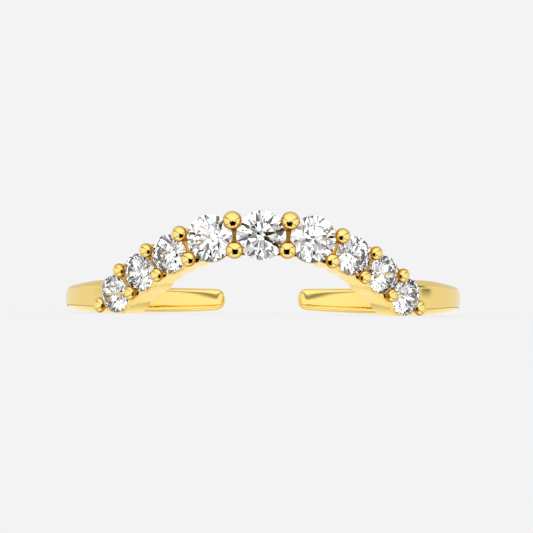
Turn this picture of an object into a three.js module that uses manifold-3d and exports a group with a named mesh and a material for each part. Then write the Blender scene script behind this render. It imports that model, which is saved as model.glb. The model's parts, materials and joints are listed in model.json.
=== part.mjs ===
import * as THREE from 'three';
import { ConvexGeometry } from 'three/addons/geometries/ConvexGeometry.js';
import { mergeVertices } from 'three/addons/utils/BufferGeometryUtils.js';
import Module from 'manifold-3d';

// A crown ring with an open back, lying on its side: the finger axis is vertical and the arched
// row of stones faces -Y. Lengths are in millimetres. Angles are in degrees round the finger axis,
// from the front towards +X, and heights are above the surface that the ring lies on.

const FINGER_RADIUS = 8.7;

// The band has a rounded rectangular section, slightly domed outside, and two rounded tips that
// leave a gap at the back.
const BAND = { thickness: 1.16, dome: 0.04, edgeRadius: 0.34, backGap: 3.8, tipRadius: 0.42 };

// Heights of the band's lower and upper edges, from the shoulders beside the stones to the tips.
const BAND_EDGES = [
  { angle: 46.5, bottom: 0.0, top: 1.64 },
  { angle: 57, bottom: 0.0, top: 1.58 },
  { angle: 75, bottom: 0.08, top: 1.44 },
  { angle: 100, bottom: 0.1, top: 1.38 },
  { angle: 150, bottom: 0.1, top: 1.3 },
  { angle: 168.2, bottom: 0.18, top: 1.3 },
];
const SECTION_CORNER_STEPS = 3;
const BAND_STEPS = 20;
const TIP_STEPS = 4;

// Every stone's girdle is centred on a cylinder of this radius round the finger axis.
const GIRDLE_RADIUS = 10.2;

// From the middle stone outwards on either side. Lean is how far a stone's face turns down.
const STONES = [
  { angle: 0.0, height: 3.8, diameter: 2.44, lean: 0.0 },
  { angle: 14.1, height: 3.64, diameter: 2.31, lean: 1.0 },
  { angle: 25.55, height: 2.87, diameter: 1.88, lean: 2.5 },
  { angle: 35.0, height: 2.0, diameter: 1.83, lean: 4.0 },
  { angle: 43.7, height: 0.92, diameter: 1.8, lean: 7.5 },
];

// The pairs of beads between neighbouring stones, from the middle outwards on either side. Rise is
// the height of a bead's centre over the girdles.
const PAIRS = [
  { spacing: 1.43, rise: 0.34, upperBead: 0.43, lowerBead: 0.39 },
  { spacing: 1.27, rise: 0.33, upperBead: 0.38, lowerBead: 0.35 },
  { spacing: 1.27, rise: 0.22, upperBead: 0.33, lowerBead: 0.31 },
  { spacing: 1.19, rise: 0.16, upperBead: 0.33, lowerBead: 0.315 },
];
const BEAD_SIDES = 12;
const BEAD_RINGS = 8;

// One wide claw closes each end of the row.
const END_CLAW = { angle: 49.3, height: 0.4, radius: 0.38, rise: 0.0 };

// The setting below the stones: a cup under each stone, a post under each bead, a bar between the
// posts of a pair, and a rail that ties them together along the finger side.
const CUP = { topDepth: 0.12, lip: 0.02, maxTopRadius: 1.17, baseRadius: 0.96, sides: 24 };
const POST = { radiusShare: 0.84, inwardLean: 0.1, sides: 10 };
const BAR_THICKNESS = 0.2;
const BAR_DEPTH = 0.1;
const RAIL = { topHalfHeight: 0.92, baseHalfHeight: 0.88, topDepth: 0.45, stepsPerStone: 2 };
const SETTING_DEPTH = 2.0;
const LIGHT_HOLE_SHARE = 0.56;

// Round brilliant proportions, as shares of the diameter.
const CUT = {
  sides: 8,
  tableRadius: 0.28,
  crownHeight: 0.155,
  starRadius: 0.385,
  girdleHeight: 0.03,
  pavilionDepth: 0.43,
  lowerRadius: 0.115,
};
const GIRDLE_SIDES = 24;
const SEAT_SIDES = 20;
const SEAT_CLEARANCE = 0.03;

const wasm = await Module();
wasm.setup();

const radians = THREE.MathUtils.degToRad;

// ---- solids -------------------------------------------------------------------------------------

function toSolid(geometry) {
  const bare = geometry.clone();
  bare.deleteAttribute('normal');
  bare.deleteAttribute('uv');
  const merged = mergeVertices(bare, 1e-5);
  return new wasm.Manifold(new wasm.Mesh({
    numProp: 3,
    vertProperties: new Float32Array(merged.attributes.position.array),
    triVerts: new Uint32Array(merged.index.array),
  }));
}

function toGeometry(solid) {
  const mesh = solid.getMesh();
  const geometry = new THREE.BufferGeometry();
  geometry.setAttribute('position', new THREE.BufferAttribute(mesh.vertProperties, 3));
  geometry.setIndex(new THREE.BufferAttribute(mesh.triVerts, 1));
  return geometry;
}

function union(solids) {
  return solids.reduce((joined, next) => joined.add(next));
}

// Signed volume of a closed triangle mesh, negative when its faces point inwards.
function signedVolume(points, triangles) {
  return triangles.reduce((sum, [a, b, c]) => (
    sum + points[a].dot(new THREE.Vector3().crossVectors(points[b], points[c])) / 6
  ), 0);
}

// A closed skin through a row of sections that all have the same number of corners.
function loft(sections) {
  const corners = sections[0].length;
  const points = sections.flat();
  const triangles = [];
  for (let row = 0; row < sections.length - 1; row += 1) {
    for (let corner = 0; corner < corners; corner += 1) {
      const a = row * corners + corner;
      const b = row * corners + (corner + 1) % corners;
      triangles.push([a, b, b + corners], [a, b + corners, a + corners]);
    }
  }
  [[0, true], [sections.length - 1, false]].forEach(([row, first]) => {
    const middle = points.length;
    const centre = new THREE.Vector3();
    sections[row].forEach((point) => centre.addScaledVector(point, 1 / corners));
    points.push(centre);
    for (let corner = 0; corner < corners; corner += 1) {
      const a = row * corners + corner;
      const b = row * corners + (corner + 1) % corners;
      triangles.push(first ? [middle, b, a] : [middle, a, b]);
    }
  });
  if (signedVolume(points, triangles) < 0) triangles.forEach((triangle) => triangle.reverse());
  return new THREE.BufferGeometry().setFromPoints(points).setIndex(triangles.flat());
}

// ---- places on the ring -------------------------------------------------------------------------

function outwards(angle) {
  return new THREE.Vector3(Math.sin(radians(angle)), -Math.cos(radians(angle)), 0);
}

function onRing(angle, radius, height) {
  return outwards(angle).multiplyScalar(radius).setZ(height);
}

// Frame of a place on the row: X along the row, Y across it and up, Z out of the setting.
function rowFrame({ angle, height, lean }, along) {
  const face = outwards(angle).multiplyScalar(Math.cos(radians(lean)));
  face.setZ(-Math.sin(radians(lean)));
  const run = along.clone().addScaledVector(face, -along.dot(face)).normalize();
  const across = new THREE.Vector3().crossVectors(face, run);
  const frame = new THREE.Matrix4().makeBasis(run, across, face);
  return frame.setPosition(onRing(angle, GIRDLE_RADIUS, height));
}

const mirrored = (stone) => ({ ...stone, angle: -stone.angle });
const ROW = [...STONES.slice(1).reverse().map(mirrored), ...STONES];
const ROW_PAIRS = [...PAIRS.slice().reverse(), ...PAIRS];
const ROW_CENTRES = ROW.map(({ angle, height }) => onRing(angle, GIRDLE_RADIUS, height));

function stoneFrame(index) {
  const before = ROW_CENTRES[Math.max(index - 1, 0)];
  const after = ROW_CENTRES[Math.min(index + 1, ROW.length - 1)];
  return rowFrame(ROW[index], after.clone().sub(before));
}

// Place between stone and stone + 1, where share runs from 0 at the first to 1 at the second.
function between(stone, share) {
  const mix = (key) => THREE.MathUtils.lerp(ROW[stone][key], ROW[stone + 1][key], share);
  return { angle: mix('angle'), height: mix('height'), lean: mix('lean') };
}

function pairFrame(pair) {
  const along = ROW_CENTRES[pair + 1].clone().sub(ROW_CENTRES[pair]);
  const radius = ROW[pair].diameter / 2;
  const slack = along.length() - radius - ROW[pair + 1].diameter / 2;
  return rowFrame(between(pair, (radius + slack / 2) / along.length()), along);
}

// ---- stones -------------------------------------------------------------------------------------

function circlePoints(count, radius, height, turn = 0) {
  return Array.from({ length: count }, (_, step) => {
    const angle = (step / count) * 2 * Math.PI + turn;
    return new THREE.Vector3(radius * Math.cos(angle), radius * Math.sin(angle), height);
  });
}

// Heights of the crown and depths of the pavilion, as shares of the diameter, at the corners where
// four facets meet. Both lie on the main facets, whose middles are half a turn away.
const HALF_TURN = Math.PI / CUT.sides;
const STAR_HEIGHT = (CUT.crownHeight * (0.5 - CUT.starRadius * Math.cos(HALF_TURN)))
  / (0.5 - CUT.tableRadius);
const LOWER_DEPTH = CUT.pavilionDepth * (1 - 2 * CUT.lowerRadius * Math.cos(HALF_TURN));

// A round brilliant, table up, its girdle centred on the origin.
function brilliant(diameter) {
  const { sides, tableRadius, crownHeight, starRadius, girdleHeight, lowerRadius } = CUT;
  const top = (girdleHeight * diameter) / 2;
  return new ConvexGeometry([
    ...circlePoints(sides, tableRadius * diameter, top + crownHeight * diameter),
    ...circlePoints(sides, starRadius * diameter, top + STAR_HEIGHT * diameter, HALF_TURN),
    ...circlePoints(GIRDLE_SIDES, diameter / 2, top),
    ...circlePoints(GIRDLE_SIDES, diameter / 2, -top),
    ...circlePoints(sides, lowerRadius * diameter, -top - LOWER_DEPTH * diameter, HALF_TURN),
    new THREE.Vector3(0, 0, -top - CUT.pavilionDepth * diameter),
  ]);
}

// The plain round hollow that a stone of this diameter sits in, with its light hole below.
function seat(diameter) {
  const reach = diameter / 2 + SEAT_CLEARANCE;
  const top = (CUT.girdleHeight * diameter) / 2 + SEAT_CLEARANCE;
  const hole = (LIGHT_HOLE_SHARE * diameter) / 2;
  const profile = [
    [0, -2 * SETTING_DEPTH],
    [hole, -2 * SETTING_DEPTH],
    [hole, -top - 2 * CUT.pavilionDepth * (reach - hole)],
    [reach, -top],
    [reach, top],
    [2 * CUT.tableRadius * reach, top + 2 * CUT.crownHeight * reach],
    [0, top + 2 * CUT.crownHeight * reach],
  ].map(([radius, height]) => new THREE.Vector2(radius, height));
  return new THREE.LatheGeometry(profile, SEAT_SIDES).rotateX(Math.PI / 2);
}

// ---- band ---------------------------------------------------------------------------------------

// Corners of the band's section as [outwards from the finger, height], from four rounded corners
// and one point on the crown of the domed outer face. Shrink draws the section in near a tip.
function bandSection({ bottom, top }, shrink) {
  const radius = Math.min(BAND.edgeRadius, (BAND.thickness - 2 * shrink) / 2.2);
  const inner = shrink + radius;
  const outer = BAND.thickness - inner;
  const centres = [
    [outer, bottom + inner], [outer, top - inner], [inner, top - inner], [inner, bottom + inner],
  ];
  const section = centres.flatMap(([out, up], corner) => (
    Array.from({ length: SECTION_CORNER_STEPS + 1 }, (_, step) => {
      const angle = ((corner - 1 + step / SECTION_CORNER_STEPS) * Math.PI) / 2;
      return [out + radius * Math.cos(angle), up + radius * Math.sin(angle)];
    })
  ));
  const crown = [BAND.thickness - shrink + BAND.dome, (bottom + top) / 2];
  section.splice(SECTION_CORNER_STEPS + 1, 0, crown);
  return section;
}

// One arm of the band, from inside the last cup round to its rounded tip beside the back gap.
function bandArm(side) {
  const middleRadius = FINGER_RADIUS + BAND.thickness / 2;
  const tipAngle = 180 - THREE.MathUtils.radToDeg(Math.asin(BAND.backGap / 2 / middleRadius));
  const roundAngle = THREE.MathUtils.radToDeg(BAND.tipRadius / middleRadius);
  const edges = new THREE.CatmullRomCurve3(
    BAND_EDGES.map(({ angle, bottom, top }) => new THREE.Vector3(angle, bottom, top)),
  );
  const stations = [];
  for (let step = 0; step <= BAND_STEPS; step += 1) {
    const { x: angle, y: bottom, z: top } = edges.getPointAt(step / BAND_STEPS);
    const round = angle > tipAngle - roundAngle;
    if (!round) stations.push({ angle, bottom: Math.max(0, bottom), top, shrink: 0 });
  }
  const { bottom, top } = BAND_EDGES.at(-1);
  for (let step = 0; step <= TIP_STEPS; step += 1) {
    const turn = (step / TIP_STEPS) * (Math.PI / 2);
    const angle = tipAngle - roundAngle * (1 - Math.sin(turn));
    stations.push({ angle, bottom, top, shrink: BAND.tipRadius * (1 - Math.cos(turn)) });
  }
  return toSolid(loft(stations.map(({ angle, shrink, ...edge }) => (
    bandSection(edge, shrink).map(([out, up]) => onRing(side * angle, FINGER_RADIUS + out, up))
  ))));
}

// ---- setting ------------------------------------------------------------------------------------

// A round bar or cone along Z, from the bottom height to the top height.
function rod(bottomRadius, topRadius, bottom, top, sides) {
  const geometry = new THREE.CylinderGeometry(topRadius, bottomRadius, top - bottom, sides);
  return geometry.rotateX(Math.PI / 2).translate(0, 0, (top + bottom) / 2);
}

function cup(index) {
  const { diameter } = ROW[index];
  const topRadius = Math.min(diameter / 2 + CUP.lip, CUP.maxTopRadius);
  const geometry = rod(CUP.baseRadius, topRadius, -SETTING_DEPTH, -CUP.topDepth, CUP.sides);
  return toSolid(geometry.applyMatrix4(stoneFrame(index)));
}

// A bead on the post that carries it, on one side of the row.
function beadOnPost(frame, radius, offset, rise) {
  const bead = new THREE.SphereGeometry(radius, BEAD_SIDES, BEAD_RINGS);
  const postRadius = radius * POST.radiusShare;
  const post = rod(postRadius, postRadius, -SETTING_DEPTH - rise, 0, POST.sides);
  const lean = Math.atan2(POST.inwardLean, SETTING_DEPTH) * Math.sign(offset);
  post.rotateX(-lean);
  return [bead, post].map((geometry) => (
    toSolid(geometry.translate(0, offset, rise).applyMatrix4(frame))
  ));
}

function pairSolids(pair) {
  const { spacing, rise, upperBead, lowerBead } = ROW_PAIRS[pair];
  const frame = pairFrame(pair);
  const bar = new THREE.BoxGeometry(BAR_THICKNESS, spacing, SETTING_DEPTH - BAR_DEPTH);
  bar.translate(0, 0, -(SETTING_DEPTH + BAR_DEPTH) / 2).applyMatrix4(frame);
  return [
    toSolid(bar),
    ...beadOnPost(frame, upperBead, spacing / 2, rise),
    ...beadOnPost(frame, lowerBead, -spacing / 2, rise),
  ];
}

// The rail's section at a place on the row, wider at its outer edge than on the finger side.
function railSection(frame) {
  const { topHalfHeight, baseHalfHeight, topDepth } = RAIL;
  return [
    [baseHalfHeight, -SETTING_DEPTH], [topHalfHeight, -topDepth],
    [-topHalfHeight, -topDepth], [-baseHalfHeight, -SETTING_DEPTH],
  ].map(([up, out]) => new THREE.Vector3(0, up, out).applyMatrix4(frame));
}

function rail() {
  const sections = [];
  for (let stone = 0; stone < ROW.length - 1; stone += 1) {
    for (let step = 0; step < RAIL.stepsPerStone; step += 1) {
      const share = step / RAIL.stepsPerStone;
      const along = stoneFrame(stone).clone();
      const start = new THREE.Vector3().setFromMatrixColumn(along, 0);
      const end = new THREE.Vector3().setFromMatrixColumn(stoneFrame(stone + 1), 0);
      sections.push(railSection(rowFrame(between(stone, share), start.lerp(end, share))));
    }
  }
  sections.push(railSection(stoneFrame(ROW.length - 1)));
  return toSolid(loft(sections));
}

function endClaw(side) {
  const { angle, height, radius, rise } = END_CLAW;
  const centre = onRing(side * angle, GIRDLE_RADIUS + rise, height);
  const root = onRing(side * angle, FINGER_RADIUS + BAND.thickness / 2, height + radius / 2);
  const bead = new THREE.SphereGeometry(radius, BEAD_SIDES, BEAD_RINGS);
  const length = centre.distanceTo(root);
  const stem = rod(radius, radius, -length, 0, BEAD_SIDES);
  const facing = new THREE.Quaternion().setFromUnitVectors(
    new THREE.Vector3(0, 0, 1),
    centre.clone().sub(root).normalize(),
  );
  const place = new THREE.Matrix4().makeRotationFromQuaternion(facing).setPosition(centre);
  return [bead, stem].map((geometry) => toSolid(geometry.applyMatrix4(place)));
}

// Everything inside the finger hole or below the surface, which the setting is trimmed by.
function trimmings() {
  const reach = 3 * FINGER_RADIUS;
  const finger = rod(FINGER_RADIUS, FINGER_RADIUS, -reach, reach, 90);
  const below = new THREE.BoxGeometry(2 * reach, 2 * reach, reach).translate(0, 0, -reach / 2);
  return [finger, below].map(toSolid);
}

function bandWithSetting() {
  const stones = ROW.map((_, index) => index);
  const pairs = ROW_PAIRS.map((_, pair) => pair);
  const setting = union([
    rail(),
    ...stones.map(cup),
    ...pairs.flatMap(pairSolids),
    ...endClaw(-1),
    ...endClaw(1),
  ]).subtract(union(trimmings()));
  const seats = ROW.map(({ diameter }, index) => (
    toSolid(seat(diameter).applyMatrix4(stoneFrame(index)))
  ));
  return union([setting, bandArm(-1), bandArm(1)]).subtract(union(seats));
}

// ---- assembly -----------------------------------------------------------------------------------

const gold = new THREE.MeshStandardMaterial({ color: 0xe8c15a, metalness: 1, roughness: 0.12 });
const crystal = new THREE.MeshStandardMaterial({ color: 0xf4f6f8, metalness: 0, roughness: 0.02 });

const ring = new THREE.Group();

const body = new THREE.Mesh(toGeometry(bandWithSetting()), gold);
body.name = 'band_with_setting';
ring.add(body);

ROW.forEach(({ diameter }, index) => {
  const stone = new THREE.Mesh(brilliant(diameter), crystal);
  stone.name = `stone_${index + 1}`;
  stoneFrame(index).decompose(stone.position, stone.quaternion, stone.scale);
  ring.add(stone);
});

// The origin is on the surface, under the middle of the ring's bounding box.
const bounds = new THREE.Box3().setFromObject(ring, true);
const centre = bounds.getCenter(new THREE.Vector3());
ring.position.set(-centre.x, -centre.y, -bounds.min.z);

export default ring;
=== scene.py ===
import json
import logging
import math
from dataclasses import dataclass, field
from enum import Enum

import bpy
import numpy as np
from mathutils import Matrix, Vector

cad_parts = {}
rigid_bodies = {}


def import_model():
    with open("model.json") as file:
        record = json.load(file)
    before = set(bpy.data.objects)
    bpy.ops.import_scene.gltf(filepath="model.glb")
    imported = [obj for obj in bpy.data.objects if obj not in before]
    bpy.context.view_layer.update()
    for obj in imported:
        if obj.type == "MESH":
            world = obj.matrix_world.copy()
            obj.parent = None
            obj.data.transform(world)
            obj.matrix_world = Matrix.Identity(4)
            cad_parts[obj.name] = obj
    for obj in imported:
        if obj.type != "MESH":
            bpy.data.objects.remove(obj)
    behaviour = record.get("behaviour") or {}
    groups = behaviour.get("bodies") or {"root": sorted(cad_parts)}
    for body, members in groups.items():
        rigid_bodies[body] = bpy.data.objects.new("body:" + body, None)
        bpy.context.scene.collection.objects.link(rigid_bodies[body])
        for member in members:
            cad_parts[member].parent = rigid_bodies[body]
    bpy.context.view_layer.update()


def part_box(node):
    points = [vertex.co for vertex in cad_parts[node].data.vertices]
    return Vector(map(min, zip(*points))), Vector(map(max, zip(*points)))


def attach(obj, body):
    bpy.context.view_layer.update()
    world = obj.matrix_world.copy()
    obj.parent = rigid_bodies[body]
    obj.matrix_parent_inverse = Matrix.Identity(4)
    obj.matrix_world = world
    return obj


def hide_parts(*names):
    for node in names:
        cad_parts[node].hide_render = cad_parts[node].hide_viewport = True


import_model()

# A crown ring with an open back, lying on its side: the finger axis is vertical and the arched row
# of nine stones faces -Y. Forms are worked out in millimetres round the finger axis, with heights
# above the floor, and become metres in the frame's own place when their mesh is made.

MM = 0.001  # in metres
HAIR = 0.001  # in millimetres, to keep an edge from closing on itself
FULL_TURN = 2.0 * math.pi
WHITE = (1.0, 1.0, 1.0, 1.0)

Colour = tuple[float, float, float, float]
Pair = tuple[np.ndarray, np.ndarray]
Source = float | tuple[float, ...] | bpy.types.NodeSocket

log = logging.getLogger("crown_ring")


class Side(Enum):
    """The two sides of the ring, as the sign of X."""

    LEFT = -1
    RIGHT = 1


@dataclass(frozen=True)
class Fade:
    """A smooth change of level: the two places it runs between, and the level at each of them."""

    low: float
    high: float
    start: float
    end: float

    def at(self, value: np.ndarray) -> np.ndarray:
        """Returns the level at each value, by 3 t^2 - 2 t^3 of the way t from low to high."""
        t = np.clip((value - self.low) / (self.high - self.low), 0.0, 1.0)
        return self.start + (self.end - self.start) * (t * t * (3 - 2 * t))


# ---- skins --------------------------------------------------------------------------------------


@dataclass(frozen=True)
class Skin:
    """A closed skin: its corner points in millimetres and its faces as rows of corner numbers."""

    points: np.ndarray
    faces: tuple[np.ndarray, ...]

    def volume(self) -> float:
        """Adds up the tetrahedra between the faces and the origin.

        Returns:
            The signed volume, which is negative when the faces point inwards.
        """
        total = 0.0
        for rows in self.faces:
            first = self.points[rows[:, 0]]
            for corner in range(1, rows.shape[1] - 1):
                second, third = self.points[rows[:, corner]], self.points[rows[:, corner + 1]]
                total += float(np.einsum("ij,ij->i", first, np.cross(second, third)).sum()) / 6
        return total

    def outwards(self) -> "Skin":
        """Returns the same skin with its faces pointing out."""
        step = 1 if self.volume() >= 0 else -1
        return Skin(self.points, tuple(rows[:, ::step] for rows in self.faces))

    def placed(self, place: np.ndarray) -> "Skin":
        """Returns the skin carried by a 4 by 4 placing matrix.

        Args:
            place: the matrix, whose left 3 by 3 part turns and whose last column shifts.

        Returns:
            The placed skin, facing outwards.
        """
        return Skin(self.points @ place[:3, :3].T + place[:3, 3], self.faces).outwards()


def grid_skin(grid: np.ndarray) -> Skin:
    """Closes a grid of points into a skin.

    Point (u, v) of the grid is joined to its neighbours (u + 1, v) and (u, v + 1), v runs round and
    meets itself, and the first and last rows are closed by a fan on their mean point.

    Args:
        grid: points of shape (rows, columns, 3).

    Returns:
        The closed skin.
    """
    rows, columns = grid.shape[:2]
    number = np.arange(rows * columns).reshape(rows, columns)
    beside = np.roll(number, -1, axis=1)
    quads = np.stack([number[:-1], beside[:-1], beside[1:], number[1:]], axis=-1).reshape(-1, 4)
    ends = grid[[0, -1]].mean(axis=1)
    first, last = rows * columns, rows * columns + 1
    fans = np.concatenate([
        np.stack([np.full(columns, first), beside[0], number[0]], axis=-1),
        np.stack([np.full(columns, last), number[-1], beside[-1]], axis=-1),
    ])
    return Skin(np.concatenate([grid.reshape(-1, 3), ends]), (quads, fans)).outwards()


def turned(profile: np.ndarray, sides: int) -> Skin:
    """Turns a profile round Z.

    Point (u, v) is (r cos a, r sin a, z), where (r, z) is point u of the profile and a is v full
    turns divided by the number of sides.

    Args:
        profile: rows of (radius, height), with radius above zero.
        sides: the number of steps round.

    Returns:
        The closed skin.
    """
    angles = np.arange(sides) / sides * FULL_TURN
    radius, height = profile[:, :1], profile[:, 1:]
    grid = np.stack([
        radius * np.cos(angles), radius * np.sin(angles), np.broadcast_to(height, (len(profile), sides)),
    ], axis=-1)
    return grid_skin(grid)


def box_skin(low: tuple[float, float, float], high: tuple[float, float, float]) -> Skin:
    """Builds a plain box.

    Args:
        low: its lowest corner.
        high: its highest corner.

    Returns:
        The closed skin.
    """
    (x0, y0, z0), (x1, y1, z1) = low, high
    ring = [(x0, y0), (x1, y0), (x1, y1), (x0, y1)]
    return grid_skin(np.array([[(x, y, z) for x, y in ring] for z in (z0, z1)]))


def rounded_loop(half: np.ndarray, radius: float, steps: int) -> np.ndarray:
    """Returns a rounded rectangle centred on zero.

    Each quarter has its own centre, at the half size less the radius, and a quarter circle of the
    radius round it.

    Args:
        half: half width and half height.
        radius: radius of the corners.
        steps: steps in each quarter circle.

    Returns:
        Points of shape (4 * (steps + 1), 2), anticlockwise from the lower right corner.
    """
    signs = np.array([(1, -1), (1, 1), (-1, 1), (-1, -1)])
    centres = np.repeat(signs * (half - radius), steps + 1, axis=0)
    start = np.repeat((np.arange(4) - 1) * math.pi / 2, steps + 1)
    angles = start + np.tile(np.linspace(0.0, math.pi / 2, steps + 1), 4)
    return centres + radius * np.stack([np.cos(angles), np.sin(angles)], axis=-1)


# ---- the ring's layout --------------------------------------------------------------------------


@dataclass(frozen=True)
class StoneSeat:
    """Where a stone sits and how it faces.

    Degrees round the ring, height, diameter, downward lean in degrees, and the degrees round the
    ring that it faces.
    """

    angle: float
    height: float
    diameter: float
    lean: float
    facing: float


@dataclass(frozen=True)
class Bead:
    """A bead over the gap between two stones.

    Its place along and across the row and over the girdles, its radius, the height of its dome as
    a share of the radius, and how many degrees it leans up.
    """

    along: float
    across: float
    rise: float
    radius: float
    dome: float
    lean: float


def on_ring(angle: float | np.ndarray, radius: float | np.ndarray, height: float | np.ndarray) -> np.ndarray:
    """Returns points at (radius sin a, -radius cos a, height), with a in degrees."""
    turn = np.radians(angle)
    return np.stack(np.broadcast_arrays(radius * np.sin(turn), -radius * np.cos(turn), height), axis=-1)


def leaning(degrees: float, shift: tuple[float, float, float]) -> np.ndarray:
    """Makes the matrix that leans Z over towards Y and then shifts.

    Args:
        degrees: how far it leans.
        shift: where the origin goes.

    Returns:
        The 4 by 4 matrix.
    """
    lean = math.radians(degrees)
    place = np.eye(4)
    place[1, 1] = place[2, 2] = math.cos(lean)
    place[1, 2], place[2, 1] = math.sin(lean), -math.sin(lean)
    place[:3, 3] = shift
    return place


def seen_from(place: np.ndarray, points: np.ndarray) -> np.ndarray:
    """Returns points as a frame sees them, from its own origin and along its own axes."""
    return (points - place[:3, 3]) @ np.linalg.inv(place[:3, :3]).T


@dataclass
class Row:
    """The arched row of stones and the frames of its places.

    A place's frame has X along the row, Y across it and up, and Z out of the setting.
    """

    girdle_radius: float = 10.2
    seats: tuple[StoneSeat, ...] = (
        StoneSeat(-43.95, 0.925, 1.78, 7.5, -40.8),
        StoneSeat(-35.0, 1.98, 1.81, 4.0, -35.0),
        StoneSeat(-25.58, 2.86, 1.855, 2.5, -25.58),
        StoneSeat(-13.91, 3.615, 2.25, 1.0, -13.91),
        StoneSeat(0.0, 3.77, 2.37, 2.0, 2.5),
        StoneSeat(14.05, 3.615, 2.24, 1.0, 14.05),
        StoneSeat(25.57, 2.86, 1.855, 2.5, 25.57),
        StoneSeat(34.97, 1.98, 1.81, 4.0, 34.97),
        StoneSeat(43.24, 0.91, 1.78, 7.5, 39.6),
    )
    uppers: tuple[Bead, ...] = (
        Bead(0.11, 0.68, 0.16, 0.345, 0.7, 0.0),
        Bead(0.03, 0.675, 0.22, 0.35, 0.7, 0.0),
        Bead(-0.04, 0.67, 0.33, 0.385, 0.75, 4.0),
        Bead(-0.025, 0.778, 0.34, 0.455, 0.8, 12.0),
        Bead(0.01, 0.777, 0.34, 0.455, 0.8, 12.0),
        Bead(0.025, 0.635, 0.33, 0.375, 0.75, 4.0),
        Bead(-0.035, 0.643, 0.22, 0.335, 0.7, 0.0),
        Bead(-0.03, 0.616, 0.16, 0.345, 0.7, 0.0),
    )
    lowers: tuple[Bead, ...] = (
        Bead(0.0, -0.552, 0.16, 0.34, 0.6, 0.0),
        Bead(0.0, -0.629, 0.22, 0.335, 0.6, 0.0),
        Bead(-0.025, -0.618, 0.33, 0.37, 0.65, 2.0),
        Bead(0.0, -0.629, 0.34, 0.42, 0.75, -3.0),
        Bead(-0.025, -0.611, 0.34, 0.42, 0.75, -3.0),
        Bead(-0.025, -0.659, 0.33, 0.355, 0.55, 2.0),
        Bead(0.0, -0.638, 0.22, 0.325, 0.5, 0.0),
        Bead(0.06, -0.52, 0.16, 0.33, 0.55, 0.0),
    )
    centres: np.ndarray = field(init=False)

    def __post_init__(self) -> None:
        """Works out the middles of the girdles."""
        self.centres = np.array([on_ring(s.angle, self.girdle_radius, s.height) for s in self.seats])

    def frame(self, angle: float, height: float, lean: float, facing: float,
              along: np.ndarray) -> np.ndarray:
        """Frames a place on the girdles' cylinder.

        Args:
            angle: degrees round the finger axis from the front.
            height: height over the floor.
            lean: how far the place faces down, in degrees.
            facing: degrees round the finger axis that the place faces.
            along: direction of the row there.

        Returns:
            The 4 by 4 matrix whose columns are the row's run, the way across, the way out and the
            place.
        """
        out = on_ring(facing, math.cos(math.radians(lean)), -math.sin(math.radians(lean)))
        run = along - out * np.dot(along, out)
        run = run / np.linalg.norm(run)
        middle = on_ring(angle, self.girdle_radius, height)
        place = np.eye(4)
        place[:3, :4] = np.stack([run, np.cross(out, run), out, middle], -1)
        return place

    def stone_frame(self, index: int) -> np.ndarray:
        """Frames a stone, whose run is that between its neighbours.

        Args:
            index: the stone's number in the row, from 0 on the left.

        Returns:
            The stone's frame, at the middle of its girdle.
        """
        seat = self.seats[index]
        before, after = max(index - 1, 0), min(index + 1, len(self.seats) - 1)
        along = self.centres[after] - self.centres[before]
        return self.frame(seat.angle, seat.height, seat.lean, seat.facing, along)

    def between(self, index: int, share: float, along: np.ndarray) -> np.ndarray:
        """Frames a place between two neighbouring stones.

        Args:
            index: number of the stone on the left.
            share: how far along the place is from that stone to the next.
            along: direction of the row there.

        Returns:
            The frame, which turns evenly from stone to stone.
        """
        here, after = self.seats[index], self.seats[index + 1]
        mix = [(1 - share) * getattr(here, key) + share * getattr(after, key)
               for key in ("angle", "height", "lean", "facing")]
        return self.frame(*mix, along)

    def pair_frame(self, pair: int) -> np.ndarray:
        """Frames the middle of the gap between two stones' girdles.

        Args:
            pair: number of the stone on the left.

        Returns:
            The frame that the pair's beads and their bar are placed in.
        """
        along = self.centres[pair + 1] - self.centres[pair]
        length = float(np.linalg.norm(along))
        first, second = self.seats[pair].diameter / 2, self.seats[pair + 1].diameter / 2
        share = (first + (length - first - second) / 2) / length
        return self.between(pair, share, along)

    def bead_frame(self, pair: int, bead: Bead) -> np.ndarray:
        """Returns the frame of a bead: its middle, with Z out along its post and Y up the row."""
        return self.pair_frame(pair) @ leaning(bead.lean, (bead.along, bead.across, bead.rise))

    def beads(self) -> list[tuple[np.ndarray, Bead]]:
        """Returns every bead of the row with its frame."""
        return [(self.bead_frame(pair, bead), bead)
                for side in (self.uppers, self.lowers) for pair, bead in enumerate(side)]


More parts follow.
